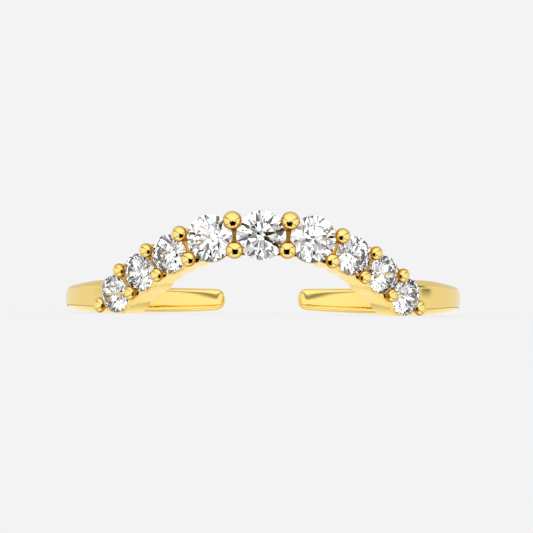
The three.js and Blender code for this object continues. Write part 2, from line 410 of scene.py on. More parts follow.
@dataclass
class Workshop:
    """Turns skins in ring millimetres into pieces in the frame's metres.

    The solid's diameter and height are those of the middle stone in the CAD.
    """

    row: Row
    cut: "BrilliantCut"
    solid_diameter: float = 2.44
    solid_height: float = 3.8
    shift: np.ndarray = field(init=False)

    def __post_init__(self) -> None:
        """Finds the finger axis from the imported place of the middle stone."""
        low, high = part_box("stone_5")
        top = (self.cut.girdle / 2 + self.cut.crown) * self.solid_diameter
        self.shift = np.array([
            (low.x + high.x) / 2 / MM,
            low.y / MM + self.row.girdle_radius + top,
            (low.z + high.z) / 2 / MM - self.solid_height,
        ])

    def mesh(self, name: str, skin: Skin) -> bpy.types.Mesh:
        """Makes a mesh of a skin.

        Args:
            name: the mesh's name.
            skin: the skin.

        Returns:
            The mesh, still in ring millimetres.
        """
        mesh = bpy.data.meshes.new(name)
        faces = [row for rows in skin.faces for row in rows.tolist()]
        mesh.from_pydata(skin.points.tolist(), [], faces)
        mesh.update()
        return mesh

    def settle(self, mesh: bpy.types.Mesh) -> None:
        """Moves a mesh's points from ring millimetres to the frame's metres.

        Args:
            mesh: the mesh, which is changed in place.
        """
        points = np.empty(len(mesh.vertices) * 3, np.float32)
        mesh.vertices.foreach_get("co", points)
        points = (points.reshape(-1, 3) + self.shift) * MM
        mesh.vertices.foreach_set("co", points.astype(np.float32).ravel())
        mesh.update()

    def piece(self, name: str, mesh: bpy.types.Mesh, slot: str, *nodes: str) -> bpy.types.Object:
        """Makes a finished piece that rides on the ring.

        Args:
            name: the piece's name.
            mesh: its mesh, in metres.
            slot: the record's material slot; not used.
            nodes: the CAD nodes it stands for.

        Returns:
            The piece's object, at the origin.
        """
        made = bpy.data.objects.new(name, mesh)
        bpy.context.scene.collection.objects.link(made)
        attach(made, "root")
        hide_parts(*nodes)
        log.info("%s: %d faces", name, len(mesh.polygons))
        return made


# ---- stones -------------------------------------------------------------------------------------


@dataclass(frozen=True)
class BrilliantCut:
    """Proportions of a round brilliant, as shares of its diameter."""

    table: float = 0.28
    crown: float = 0.155
    star: float = 0.385
    girdle: float = 0.03
    pavilion: float = 0.43
    lower: float = 0.115
    mains: int = 8
    steps: int = 8

    def rim_dip(self, inner: float, height: float) -> np.ndarray:
        """Works out the scallops of the girdle's edge.

        A girdle facet is the plane through the chord between two corners of the rim and a corner
        at the inner radius, height away. Its edge leaves the rim's level by its slope times how
        far the rim bulges past the chord.

        Args:
            inner: radius of the corner where the facets of a pair meet.
            height: height of that corner over the rim.

        Returns:
            The dip at each of the rim's points, as a share of the diameter.
        """
        half_facet = FULL_TURN / self.mains / 4
        slope = height / ((0.5 - inner) * math.cos(half_facet))
        angles = np.arange(self.mains * self.steps) / (self.mains * self.steps) * FULL_TURN
        from_middle = (angles % (2 * half_facet)) - half_facet
        return slope * 0.5 * (np.cos(from_middle) - math.cos(half_facet))

    def skin(self, diameter: float, turn: float) -> Skin:
        """Builds the stone with its table up and its girdle centred on zero.

        Corners are rings of points: table, star corners, upper and lower edge of the girdle, lower
        corners and the point below. The star and lower corners lie on the main facets, so that
        every facet is flat.

        Args:
            diameter: the stone's diameter.
            turn: how far the facets are turned, in degrees.

        Returns:
            The closed skin, one face for each facet.
        """
        mains, steps = self.mains, self.steps
        half = math.pi / mains
        star_height = self.crown * (0.5 - self.star * math.cos(half)) / (0.5 - self.table)
        lower_depth = self.pavilion * (1 - 2 * self.lower * math.cos(half))
        edge = self.girdle / 2
        around, fine = np.arange(mains), np.arange(mains * steps)

        def ring(count: int, radius: float, height: float | np.ndarray, start: float = 0.0) -> np.ndarray:
            """Spaces the corners of one ring evenly.

            Args:
                count: how many corners it has.
                radius: its radius.
                height: its height, or each corner's.
                start: angle of the first corner from the stone's own turn.

            Returns:
                The corners.
            """
            angles = np.arange(count) / count * FULL_TURN + start + math.radians(turn)
            level = np.broadcast_to(height, count)
            return np.stack([radius * np.cos(angles), radius * np.sin(angles), level], axis=-1)

        points = np.concatenate([
            ring(mains, self.table, edge + self.crown),
            ring(mains, self.star, edge + star_height, half),
            ring(mains * steps, 0.5, edge - self.rim_dip(self.star, star_height)),
            ring(mains * steps, 0.5, -edge + self.rim_dip(self.lower, lower_depth)),
            ring(mains, self.lower, -edge - lower_depth, half),
            [[0.0, 0.0, -edge - self.pavilion]],
        ]) * diameter
        table, star = around, mains + around
        upper = 2 * mains + fine
        lower = upper + mains * steps
        low_corner = 2 * mains + 2 * mains * steps + around
        point = np.full(mains, len(points) - 1)
        before, after = np.roll(around, 1), np.roll(around, -1)
        halves = np.arange(steps // 2 + 1)
        first = (around[:, None] * steps + halves) % (mains * steps)
        second = (first + steps // 2) % (mains * steps)
        stack = np.column_stack
        faces = (
            table[None, :],
            stack([table, star, table[after]]),
            stack([table, star[before], upper[around * steps], star]),
            stack([star, upper[first]]),
            stack([star, upper[second]]),
            stack([upper, lower, np.roll(lower, -1), np.roll(upper, -1)]),
            stack([low_corner, lower[first[:, ::-1]]]),
            stack([low_corner, lower[second[:, ::-1]]]),
            stack([point, low_corner, lower[around * steps], low_corner[before]]),
        )
        return Skin(points, faces)

    def seat(self, diameter: float, clearance: float, hole_share: float, depth: float, sides: int) -> Skin:
        """Builds the round hollow that the stone sits in, with its light hole below.

        The profile is the stone's own outline grown by the clearance, down to where it meets the
        hole, which runs on through the setting.

        Args:
            diameter: the stone's diameter.
            clearance: gap between the stone and the metal.
            hole_share: diameter of the light hole as a share of the stone's.
            depth: how far down the hole runs.
            sides: the number of steps round.

        Returns:
            The closed skin of the hollow.
        """
        reach = diameter / 2 + clearance
        top = self.girdle * diameter / 2 + clearance
        hole = hole_share * diameter / 2
        crown = top + 2 * self.crown * reach
        return turned(np.array([
            (hole, -depth),
            (hole, -top - 2 * self.pavilion * (reach - hole)),
            (reach, -top),
            (reach, top),
            (2 * self.table * reach, crown),
        ]), sides)


@dataclass
class Stones:
    """The nine brilliants of the row."""

    row: Row
    cut: BrilliantCut
    turns: tuple[float, ...] = (11.0, 32.0, 5.0, 19.0, 13.0, 27.0, 14.0, 38.0, 23.0)

    def build(self, shop: Workshop) -> list[bpy.types.Object]:
        """Builds each stone in its seat.

        Args:
            shop: makes the meshes and the pieces.

        Returns:
            The nine pieces, from left to right.
        """
        made = []
        for index, (seat, turn) in enumerate(zip(self.row.seats, self.turns)):
            skin = self.cut.skin(seat.diameter, turn).placed(self.row.stone_frame(index))
            node = f"stone_{index + 1}"
            mesh = shop.mesh(f"brilliant_{index + 1}", skin)
            shop.settle(mesh)
            made.append(shop.piece(f"brilliant_{index + 1}", mesh, "crystal", node))
        return made

    def dress(self, pieces: list[bpy.types.Object], finish: "CutCrystal") -> None:
        """Gives every stone the same crystal.

        Args:
            pieces: the stones.
            finish: the crystal.
        """
        material = finish.material()
        for piece in pieces:
            piece.data.materials.append(material)


# ---- the gold -----------------------------------------------------------------------------------


@dataclass
class Band:
    """The plain band, open at the back, with two rounded tips.

    Each row of edges is a number of degrees round from the front, then the heights of the lower
    and upper edge on the left arm, and the same two on the right arm.
    """

    finger_radius: float = 8.7
    thickness: float = 1.16
    dome: float = 0.04
    edge_radius: float = 0.42
    inner_edge_radius: float = 0.2
    inner_dome: float = 0.05
    inner_curve: float = 1.75
    inner_crown: float = 0.2
    back_gap: float = 3.85
    gap_offset: float = -0.177
    tip_radius: float = 0.54
    edges: tuple[tuple[float, ...], ...] = (
        (46.5, 0.0, 1.66, 0.0, 1.75),
        (57.0, 0.03, 1.605, 0.05, 1.74),
        (75.0, 0.12, 1.425, 0.165, 1.565),
        (100.0, 0.1, 1.36, 0.13, 1.475),
        (150.0, 0.07, 1.335, 0.105, 1.385),
        (168.2, 0.2, 1.3, 0.245, 1.36),
    )
    edge_room: float = 2.2
    stations: int = 120
    tip_steps: int = 14
    corner_steps: int = 9
    face_steps: int = 9

    def heights(self, side: Side, angle: np.ndarray) -> Pair:
        """Works out an arm's edges by a smooth cubic through the named places.

        Args:
            side: the arm's side.
            angle: degrees round from the front.

        Returns:
            The heights of the lower and the upper edge at each angle.
        """
        known = np.array(self.edges)[:, [0, 1, 2] if side is Side.LEFT else [0, 3, 4]]
        slope = np.gradient(known[:, 1:], known[:, 0], axis=0)
        step = np.clip(np.searchsorted(known[:, 0], angle, side="right") - 1, 0, len(known) - 2)
        width = (known[step + 1, 0] - known[step, 0])[:, None]
        t = (angle[:, None] - known[step, :1]) / width
        level = ((1 + 2 * t) * (1 - t) ** 2 * known[step, 1:] + t * (1 - t) ** 2 * width * slope[step]
                 + t ** 2 * (3 - 2 * t) * known[step + 1, 1:] - t ** 2 * (1 - t) * width * slope[step + 1])
        return np.maximum(level[:, 0], 0.0), level[:, 1]

    def section(self, bottom: np.ndarray, top: np.ndarray, shrink: np.ndarray) -> Pair:
        """Works out the band's section at many stations at once.

        A rounded rectangle drawn in by the shrink, whose thickness has room for edge_room times
        the radius of any corner. Its outer face is raised by the dome times one
        less the square of the way from mid height to the edge. Its inner face falls back from the
        finger by the inner dome times a power, the inner curve, of the way from the crown's height.

        Args:
            bottom: height of the lower edge at each station.
            top: height of the upper edge at each station.
            shrink: how far the section is drawn in at each station.

        Returns:
            Distance outwards from the finger and height, each of shape (stations, points).
        """
        quarter = np.linspace(0.0, math.pi / 2, self.corner_steps + 1)
        room = (self.thickness - 2 * shrink) / self.edge_room
        outer_radius = np.minimum(self.edge_radius, room)[:, None]
        inner_radius = np.minimum(self.inner_edge_radius, room)[:, None]
        low, high = (bottom + shrink)[:, None], (top - shrink)[:, None]
        near, far = shrink[:, None], self.thickness - shrink[:, None]
        share = np.linspace(0.0, 1.0, self.face_steps + 2)[1:-1]

        def corner(side: int, up: int, radius: np.ndarray, turn: np.ndarray) -> Pair:
            """Returns a corner's quarter circle, on the far or near side and at the top or foot."""
            edge, level = (far if side > 0 else near), (high if up > 0 else low)
            return edge - side * radius * (1 - np.cos(turn)), level - up * radius * (1 - np.sin(turn))

        parts = [
            corner(1, -1, outer_radius, quarter[::-1]),
            (far + 0 * share, low + outer_radius + (high - low - 2 * outer_radius) * share),
            corner(1, 1, outer_radius, quarter),
            corner(-1, 1, inner_radius, quarter[::-1]),
            (near + 0 * share, high - inner_radius - (high - low - 2 * inner_radius) * share),
            corner(-1, -1, inner_radius, quarter),
        ]
        out = np.concatenate([part[0] for part in parts], axis=1)
        up = np.concatenate([part[1] for part in parts], axis=1)
        middle, full = (top + bottom)[:, None] / 2, (top - bottom)[:, None] / 2
        half = full - shrink[:, None]
        outer_share = np.clip(out / self.thickness * 2 - 1, 0, 1)
        inner_share = np.clip(1 - out / self.thickness * 2, 0, 1)
        crown = bottom[:, None] + self.inner_crown * 2 * full
        kept = half / full
        out = out + kept * outer_share * self.dome * (1 - ((up - middle) / half) ** 2)
        out = out + kept * inner_share * self.inner_dome * np.abs((up - crown) / full) ** self.inner_curve
        return out, up

    def arm(self, side: Side) -> Skin:
        """Builds one arm, from inside the last cup round to its rounded tip.

        The tip is the last section drawn in along a quarter circle.

        Args:
            side: the arm's side.

        Returns:
            The closed skin.
        """
        middle_radius = self.finger_radius + self.thickness / 2
        reach = self.back_gap / 2 + side.value * self.gap_offset
        tip_angle = 180 - math.degrees(math.asin(reach / middle_radius))
        round_angle = math.degrees(self.tip_radius / middle_radius)
        first, last = self.edges[0][0], self.edges[-1][0]
        angle = np.linspace(first, tip_angle - round_angle, self.stations)[:-1]
        bottom, top = self.heights(side, angle)
        turn = np.linspace(0.0, math.pi / 2, self.tip_steps + 1)
        tip = tip_angle - round_angle * (1 - np.sin(turn))
        tip_bottom, tip_top = self.heights(side, np.full(len(turn), last))
        shrink = np.concatenate([np.zeros(len(angle)), self.tip_radius * (1 - np.cos(turn))])
        bottom, top = np.concatenate([bottom, tip_bottom]), np.concatenate([top, tip_top])
        out, up = self.section(bottom, top, shrink)
        stations = side.value * np.concatenate([angle, tip])
        return grid_skin(on_ring(stations[:, None], self.finger_radius + out, up))


@dataclass
class Setting:
    """The cups, beads on posts, bars, rail and end claws that hold the row of stones.

    A bead's drops are shares of its radius, and its angles are degrees from its top. The fades and
    levels at the end say how much painted shade, a deeper orange, and extra roughness the recesses
    get: by the way out from a bead's middle, down its dome and below it, then on the bars and in
    the seats, as far as their reach.
    """

    row: Row
    cut: BrilliantCut
    depth: float = 2.0
    cup_top_depth: float = 0.16
    cup_lips: tuple[float, ...] = (0.05, 0.05, 0.04, -0.02, -0.12, -0.02, 0.04, 0.05, 0.05)
    cup_bases: tuple[float, ...] = (1.06, 0.98, 0.85, 0.82, 0.82, 0.82, 0.85, 0.98, 1.06)
    cup_edge: float = 0.05
    cup_drop: float = 0.06
    cup_splay: float = 2.5
    cup_rim_points: int = 6
    cup_wall_points: int = 8
    post_share: float = 0.84
    bead_top_angle: float = 2.0
    belly_angle: float = 114.0
    belly_points: int = 6
    knee_drop: float = 0.16
    foot_drop: float = 0.5
    neck_points: int = 7
    post_points: int = 6
    bar_width: float = 0.3
    bar_corner_steps: int = 8
    bar_stations: int = 13
    rail_top_half: float = 0.86
    rail_base_halves: tuple[float, ...] = (0.98, 0.95, 0.88, 0.84, 0.82, 0.84, 0.88, 0.95, 0.98)
    rail_drop: float = 0.06
    rail_top_depth: float = -0.02
    rail_edge: float = 0.06
    rail_corner_steps: int = 4
    rail_steps: int = 8
    left_claw_angle: float = 49.9
    right_claw_angle: float = 48.5
    claw_facing: float = 36.0
    claw: Bead = Bead(0.0, 0.39, 0.05, 0.33, 0.7, 0.0)
    claw_stretch: float = 1.13
    seat_clearance: float = 0.014
    light_hole: float = 0.56
    cup_sides: int = 96
    bead_sides: int = 48
    # These fades and levels paint shade, a deeper orange, into the recesses and make them rougher.
    shade_and_dull_beside: Fade = Fade(1.3, 1.05, 0.0, 1.0)
    shade_and_dull_flank: Fade = Fade(0.66, 0.33, 0.0, 1.0)
    shade_and_dull_below: Fade = Fade(-0.1, -0.5, 1.0, 0.0)
    shade_and_dull_bar: float = 0.8
    bar_reach: float = -0.4
    shade_and_dull_seat: float = 0.2
    seat_reach: float = 0.1

    def cup(self, index: int) -> Skin:
        """Builds a splayed cup, turned from a straight wall with a rounded upper edge.

        Args:
            index: number of the stone that the cup holds.

        Returns:
            The closed skin.
        """
        top = self.row.seats[index].diameter / 2 + self.cup_lips[index]
        quarter = np.linspace(0.0, math.pi / 2, self.cup_rim_points)
        edge = self.cup_edge
        wall = np.linspace(0.0, 1.0, self.cup_wall_points)[:, None]
        rim = np.stack([top - edge + edge * np.cos(quarter),
                        -self.cup_top_depth - edge + edge * np.sin(quarter)], axis=-1)
        base = np.array([self.cup_bases[index], -self.depth])
        profile = np.concatenate([base + (rim[0] - base) * wall[:-1], rim])
        splay = leaning(self.cup_splay, (0.0, -self.cup_drop, 0.0))
        return turned(profile, self.cup_sides).placed(self.row.stone_frame(index) @ splay)

    def bead_profile(self, bead: Bead, length: float) -> np.ndarray:
        """Works out the outline of a bead on its post.

        The bead is a circle with its upper half flattened to the dome's share. Below its widest
        place it runs on round to where it meets the post, and a short fillet leads into the
        post's straight side.

        Args:
            bead: the bead.
            length: how far the post runs below the bead's middle.

        Returns:
            Rows of (radius, height) from the post's foot to the bead's top.
        """
        radius, level = bead.radius, math.pi / 2
        post = radius * self.post_share
        over = np.linspace(math.radians(self.bead_top_angle), level, self.bead_sides // 4)
        under = np.linspace(level, math.radians(self.belly_angle), self.belly_points)[1:]
        dome = np.stack([radius * np.sin(over), radius * bead.dome * np.cos(over)], axis=-1)
        belly = np.stack([radius * np.sin(under), radius * np.cos(under)], axis=-1)
        last = belly[-1]
        foot = np.array([post, last[1] - self.foot_drop * radius])
        knee = np.array([post, last[1] - self.knee_drop * radius])
        t = np.linspace(0.0, 1.0, self.neck_points)[1:, None]
        neck = (1 - t) ** 2 * last + 2 * t * (1 - t) * knee + t ** 2 * foot
        down = np.linspace(0.0, 1.0, self.post_points)[1:, None]
        run = foot + (np.array([post, -length]) - foot) * down
        return np.concatenate([dome, belly, neck, run])[::-1]

    def bead(self, place: np.ndarray, bead: Bead) -> Skin:
        """Returns a bead and its post, carried by the bead's frame."""
        return turned(self.bead_profile(bead, self.depth), self.bead_sides).placed(place)

    def bar(self, pair: int) -> Skin:
        """Builds the flat bar between the two posts of a pair, its outer edge rounded.

        Args:
            pair: number of the stone on the left.

        Returns:
            The closed skin.
        """
        upper, lower = self.row.uppers[pair], self.row.lowers[pair]
        half_width, half_depth = self.bar_width / 2, self.depth / 2
        loop = rounded_loop(np.array([half_width, half_depth]), half_width - HAIR, self.bar_corner_steps)
        run = np.linspace(0.0, 1.0, self.bar_stations)[:, None]
        along = lower.along + (upper.along - lower.along) * run
        across = lower.across + (upper.across - lower.across) * run
        grid = np.stack(np.broadcast_arrays(
            along + loop[None, :, 0], across, loop[None, :, 1] - half_depth,
        ), axis=-1)
        return grid_skin(grid).placed(self.row.pair_frame(pair))

    def rail(self) -> Skin:
        """Builds the rail behind the cups.

        A trapezoid with rounded edges is carried along the row through frames that turn evenly
        from stone to stone.

        Returns:
            The closed skin.
        """
        tall, middle = self.depth - self.rail_top_depth, -(self.depth + self.rail_top_depth) / 2
        loop = rounded_loop(np.array([1.0, tall / 2]), self.rail_edge, self.rail_corner_steps)
        share = loop[:, 1] / tall + 0.5
        steps, last = self.rail_steps, len(self.row.seats) - 1
        stations = np.arange(steps * last + 1) / steps
        base = np.interp(stations, np.arange(last + 1), self.rail_base_halves)[:, None]
        half = base + (self.rail_top_half - base) * share
        section = np.stack(np.broadcast_arrays(
            0.0, loop[:, 0] * half - self.rail_drop, loop[:, 1] + middle,
        ), axis=-1)
        frames = []
        for index in range(last):
            start, end = self.row.stone_frame(index)[:3, 0], self.row.stone_frame(index + 1)[:3, 0]
            frames += [self.row.between(index, share, start + (end - start) * share)
                       for share in np.arange(steps) / steps]
        frames.append(self.row.stone_frame(last))
        places = np.array(frames)
        grid = np.einsum("fij,fpj->fpi", places[:, :3, :3], section) + places[:, None, :3, 3]
        return grid_skin(grid)

    def claw_frame(self, side: Side) -> np.ndarray:
        """Frames the wide claw that closes one end of the row.

        Args:
            side: which end.

        Returns:
            The frame, whose way across is straight up and stretched.
        """
        out = on_ring(side.value * self.claw_facing, 1.0, 0.0)
        angle = self.left_claw_angle if side is Side.LEFT else self.right_claw_angle
        radius = self.row.girdle_radius + self.claw.rise
        place = np.eye(4)
        place[:3, 0], place[:3, 2] = np.cross([0.0, 0.0, 1.0], out), out
        place[:3, 1] = 0.0, 0.0, self.claw_stretch
        place[:3, 3] = on_ring(side.value * angle, radius, self.claw.across)
        return place

    def solids(self) -> list[Skin]:
        """Builds every skin that the setting is joined from.

        Returns:
            The rail, the cups, the bars, the beads and the claws.
        """
        skins = [self.rail()] + [self.cup(index) for index in range(len(self.row.seats))]
        skins += [self.bar(pair) for pair in range(len(self.row.uppers))]
        skins += [self.bead(place, bead) for place, bead in self.row.beads()]
        return skins + [self.bead(self.claw_frame(side), self.claw) for side in Side]

    def recess_shade_and_dullness(self, points: np.ndarray) -> np.ndarray:
        """Works out where the gold gets painted shade, a deeper orange, and extra roughness.

        The flank of each bead counts from where its dome turns down to just below its belly, and
        a little past its radius. The bars between the beads count for most of it, and the hollows
        of the seats for a little.

        Args:
            points: places in millimetres, of shape (points, 3).

        Returns:
            A value from 0, polished and unshaded, to 1, fully painted shade and dull, at each point.
        """
        mask = np.zeros(len(points))
        for place, bead in self.row.beads() + [(self.claw_frame(side), self.claw) for side in Side]:
            along, across, rise = (seen_from(place, points) / bead.radius).T
            near = self.shade_and_dull_beside.at(np.hypot(along, across))
            flank = self.shade_and_dull_flank.at(rise / bead.dome) * self.shade_and_dull_below.at(rise)
            mask = np.maximum(mask, near * flank)
        for pair, (upper, lower) in enumerate(zip(self.row.uppers, self.row.lowers)):
            along, across, rise = seen_from(self.row.pair_frame(pair), points).T
            within = (np.abs(along) < self.bar_width) & (across < upper.across) & (across > lower.across)
            within &= (rise < upper.rise) & (rise > self.bar_reach)
            mask = np.maximum(mask, self.shade_and_dull_bar * within)
        for index, seat in enumerate(self.row.seats):
            along, across, rise = seen_from(self.row.stone_frame(index), points).T
            hollow = seat.diameter / 2 + 2 * self.seat_clearance
            within = (np.hypot(along, across) < hollow) & (rise < self.seat_reach)
            mask = np.maximum(mask, self.shade_and_dull_seat * within)
        return mask

    def hollows(self) -> list[Skin]:
        """Builds the hollows that are cut for the stones.

        Returns:
            One skin for each stone, of its seat and its light hole.
        """
        sizes = self.seat_clearance, self.light_hole, 2 * self.depth, self.cup_sides
        return [self.cut.seat(seat.diameter, *sizes).placed(self.row.stone_frame(index))
                for index, seat in enumerate(self.row.seats)]


class Join(Enum):
    """How a group of skins acts on the metal."""

    ADD = "UNION"
    CUT = "DIFFERENCE"


@dataclass
class GoldWork:
    """The band and its setting, soldered into one piece of gold."""

    band: Band
    setting: Setting
    sharp_angle: float = 32.0
    bore_sides: int = 360

    def trimmings(self) -> list[Skin]:
        """Builds what is trimmed off the setting.

        Returns:
            The skins of the finger hole and of everything below the floor.
        """
        reach = 3 * self.band.finger_radius
        bore = turned(np.array([(self.band.finger_radius, -reach), (self.band.finger_radius, reach)]),
                      self.bore_sides)
        return [bore, box_skin((-reach, -reach, -reach), (reach, reach, 0.0))]

    def joined(self, shop: Workshop, steps: list[tuple[Join, list[Skin]]], start: Skin) -> bpy.types.Mesh:
        """Joins and cuts groups of skins in order.

        Args:
            shop: makes the meshes.
            steps: each group of skins and how it acts.
            start: the skin that the first group acts on.

        Returns:
            The finished mesh, in ring millimetres.
        """
        scene = bpy.context.scene
        body = bpy.data.objects.new("gold_blank", shop.mesh("gold_blank", start))
        scene.collection.objects.link(body)
        groups = []
        for number, (join, skins) in enumerate(steps):
            group = bpy.data.collections.new(f"gold_step_{number}")
            for skin in skins:
                group.objects.link(bpy.data.objects.new("blank", shop.mesh("blank", skin)))
            modifier = body.modifiers.new(f"step_{number}", "BOOLEAN")
            modifier.operation, modifier.solver = join.value, "MANIFOLD"
            modifier.operand_type, modifier.collection = "COLLECTION", group
            scene.collection.children.link(group)
            groups.append(group)
        shaped = body.evaluated_get(bpy.context.evaluated_depsgraph_get())
        mesh = bpy.data.meshes.new_from_object(shaped)
        for group in groups:
            for blank in list(group.objects):
                bpy.data.meshes.remove(blank.data)
            bpy.data.collections.remove(group)
        bpy.data.meshes.remove(body.data)
        return mesh

    def build(self, shop: Workshop) -> bpy.types.Object:
        """Builds the metal as one piece, with a mask on its points of painted shade and dullness in its
        recesses.

        Args:
            shop: makes the meshes and the piece.

        Returns:
            The piece.
        """
        first, *others = self.setting.solids()
        steps = [
            (Join.ADD, others),
            (Join.CUT, self.trimmings()),
            (Join.ADD, [self.band.arm(side) for side in Side]),
            (Join.CUT, self.setting.hollows()),
        ]
        mesh = self.joined(shop, steps, first)
        mesh.name = "gold_ring"
        points = np.empty(len(mesh.vertices) * 3, np.float32)
        mesh.vertices.foreach_get("co", points)
        # A mask that paints shade into the recesses and dulls them.
        reach = self.setting.recess_shade_and_dullness(points.reshape(-1, 3))
        painted_recess_shade = mesh.attributes.new("recess_shade_and_dullness", "FLOAT", "POINT")
        painted_recess_shade.data.foreach_set("value", reach.astype(np.float32))
        shop.settle(mesh)
        mesh.shade_smooth()
        mesh.set_sharp_from_angle(angle=math.radians(self.sharp_angle))
        return shop.piece("gold_ring", mesh, "gold", "band_with_setting")

    def dress(self, piece: bpy.types.Object, finish: "PolishedGold") -> None:
        """Gives the metal its polish."""
        piece.data.materials.clear()
        piece.data.materials.append(finish.material())


# ---- finishes -----------------------------------------------------------------------------------


class Mixed(Enum):
    """What a mixing node mixes."""

    LEVELS = "FLOAT"
    COLOURS = "RGBA"


class Wiring:
    """Adds nodes to a tree and wires them up."""

    def __init__(self, tree: bpy.types.NodeTree) -> None:
        """Takes the tree that the nodes go into."""
        self.tree = tree

    def feed(self, node: bpy.types.Node, inputs: dict[str | int, Source]) -> None:
        """Feeds a node's inputs.

        Args:
            node: the node.
            inputs: by name or number, another node's output to link or a plain value to set.
        """
        for key, source in inputs.items():
            if isinstance(source, bpy.types.NodeSocket):
                self.tree.links.new(source, node.inputs[key])
            else:
                node.inputs[key].default_value = source

    def add(self, kind: str, inputs: dict[str | int, Source], **settings: object) -> bpy.types.Node:
        """Adds a node and feeds it.

        Args:
            kind: its type, as Blender names it after "ShaderNode".
            inputs: what its inputs get.
            settings: its own settings, which are made before it is fed.

        Returns:
            The node.
        """
        node = self.tree.nodes.new("ShaderNode" + kind)
        for key, value in settings.items():
            setattr(node, key, value)
        self.feed(node, inputs)
        return node

    def math(self, operation: str, *sources: Source) -> bpy.types.NodeSocket:
        """Returns the result of one step of arithmetic."""
        return self.add("Math", dict(enumerate(sources)), operation=operation).outputs[0]

    def times(self, first: Source, *others: Source) -> Source:
        """Multiplies sources.

        Args:
            first: the first of them.
            others: the rest.

        Returns:
            Their product.
        """
        for other in others:
            first = self.math("MULTIPLY", first, other)
        return first

    def apart(self, source: Source, place: float) -> bpy.types.NodeSocket:
        """Returns how far a value is from a place, either way."""
        return self.math("ABSOLUTE", self.math("SUBTRACT", source, place))

    def mix(self, kind: Mixed, share: Source, first: Source, second: Source) -> bpy.types.NodeSocket:
        """Returns the mix of two levels or colours."""
        node = self.add("Mix", {"Factor": share, "A": first, "B": second}, data_type=kind.value)
        return node.outputs["Result"]

    def fade(self, source: Source, fade: Fade, start: Source | None = None,
             even: bool = False) -> bpy.types.NodeSocket:
        """Turns a value into a fade's level.

        Args:
            source: the value.
            fade: the fade.
            start: the fade's first level, where that isn't the same everywhere.
            even: whether the level changes evenly and not smoothly.

        Returns:
            The level.
        """
        places = {"Value": source, "From Min": fade.low, "From Max": fade.high,
                  "To Min": fade.start if start is None else start, "To Max": fade.end}
        course = "LINEAR" if even else "SMOOTHSTEP"
        return self.add("MapRange", places, interpolation_type=course).outputs["Result"]


def blank_material(name: str) -> tuple[bpy.types.Material, Wiring, bpy.types.Node]:
    """Makes a material that has only its shader.

    Args:
        name: the material's name.

    Returns:
        The material, its wiring and its shader.
    """
    material = bpy.data.materials.new(name)
    material.use_nodes = True
    return material, Wiring(material.node_tree), material.node_tree.nodes["Principled BSDF"]


@dataclass(frozen=True)
class FinePolish:
    """The effect of a hand polish: sizes and detail of its noises, as waves in a metre.

    A broad noise is the haze that fingers leave, and a fine one is the last marks of the polishing
    cloth.
    """

    haze_size: float = 900.0
    mark_size: float = 9000.0
    haze_detail: float = 3.0
    mark_detail: float = 2.0

    def group(self) -> bpy.types.NodeTree:
        """Builds the effect as a group that every finish shares.

        Returns:
            The node group, whose outputs Haze and Marks are noises from 0 to 1 on Object
            coordinates.
        """
        group = bpy.data.node_groups.new("fine_polish", "ShaderNodeTree")
        details = {"Haze": self.haze_detail, "Marks": self.mark_detail}
        for name in details:
            group.interface.new_socket(name=f"{name} size", in_out="INPUT", socket_type="NodeSocketFloat")
            group.interface.new_socket(name=name, in_out="OUTPUT", socket_type="NodeSocketFloat")
        wiring = Wiring(group)
        source, result = group.nodes.new("NodeGroupInput"), group.nodes.new("NodeGroupOutput")
        place = wiring.add("TexCoord", {}).outputs["Object"]
        for name, detail in details.items():
            size = source.outputs[f"{name} size"]
            noise = wiring.add("TexNoise", {"Vector": place, "Detail": detail, "Scale": size})
            wiring.feed(result, {name: noise.outputs["Fac"]})
        return group

    def placed(self, wiring: Wiring) -> tuple[bpy.types.NodeSocket, bpy.types.NodeSocket]:
        """Places the shared group in a material, with this polish's own sizes.

        Args:
            wiring: the material's wiring.

        Returns:
            The haze and the marks.
        """
        sizes = {"Haze size": self.haze_size, "Marks size": self.mark_size}
        node = wiring.add("Group", sizes, node_tree=bpy.data.node_groups["fine_polish"])
        return node.outputs["Haze"], node.outputs["Marks"]


@dataclass(frozen=True)
class PolishedGold:
    """Yellow gold with a mirror polish, with painted shade, a deeper orange, and more roughness in its
    recesses.
    """

    polish: FinePolish = FinePolish()
    deep: Colour = (0.99, 0.73, 0.22, 1.0)
    pale: Colour = (1.0, 0.77, 0.27, 1.0)
    edge: Colour = (1.0, 0.97, 0.9, 1.0)
    # Painted shade: the deep orange that the recesses are darkened to.
    painted_recess_shade: Colour = (0.66, 0.29, 0.008, 1.0)
    roughness: Fade = Fade(0.35, 0.75, 0.03, 0.075)
    unpolished: float = 0.3
    bump: float = 0.04
    bump_distance: float = 0.000004

    def material(self) -> bpy.types.Material:
        """Builds the gold, with haze in colour and roughness, painted shade in its recesses, and the cloth's
        marks as bump.

        Returns:
            The material.
        """
        material, wiring, shader = blank_material("polished_gold")
        haze, marks = self.polish.placed(wiring)
        # The mask of painted shade and dullness in the recesses.
        reach = wiring.add("Attribute", {}, attribute_name="recess_shade_and_dullness").outputs["Fac"]
        clean = wiring.mix(Mixed.COLOURS, haze, self.deep, self.pale)
        rough = wiring.fade(haze, self.roughness, even=True)
        relief = {"Strength": self.bump, "Distance": self.bump_distance, "Height": marks}
        wiring.feed(shader, {
            "Metallic": 1.0,
            "Specular Tint": self.edge,
            "Base Color": wiring.mix(Mixed.COLOURS, reach, clean, self.painted_recess_shade),
            "Roughness": wiring.math("MULTIPLY_ADD", reach, self.unpolished, rough),
            "Normal": wiring.add("Bump", relief).outputs["Normal"],
        })
        return material


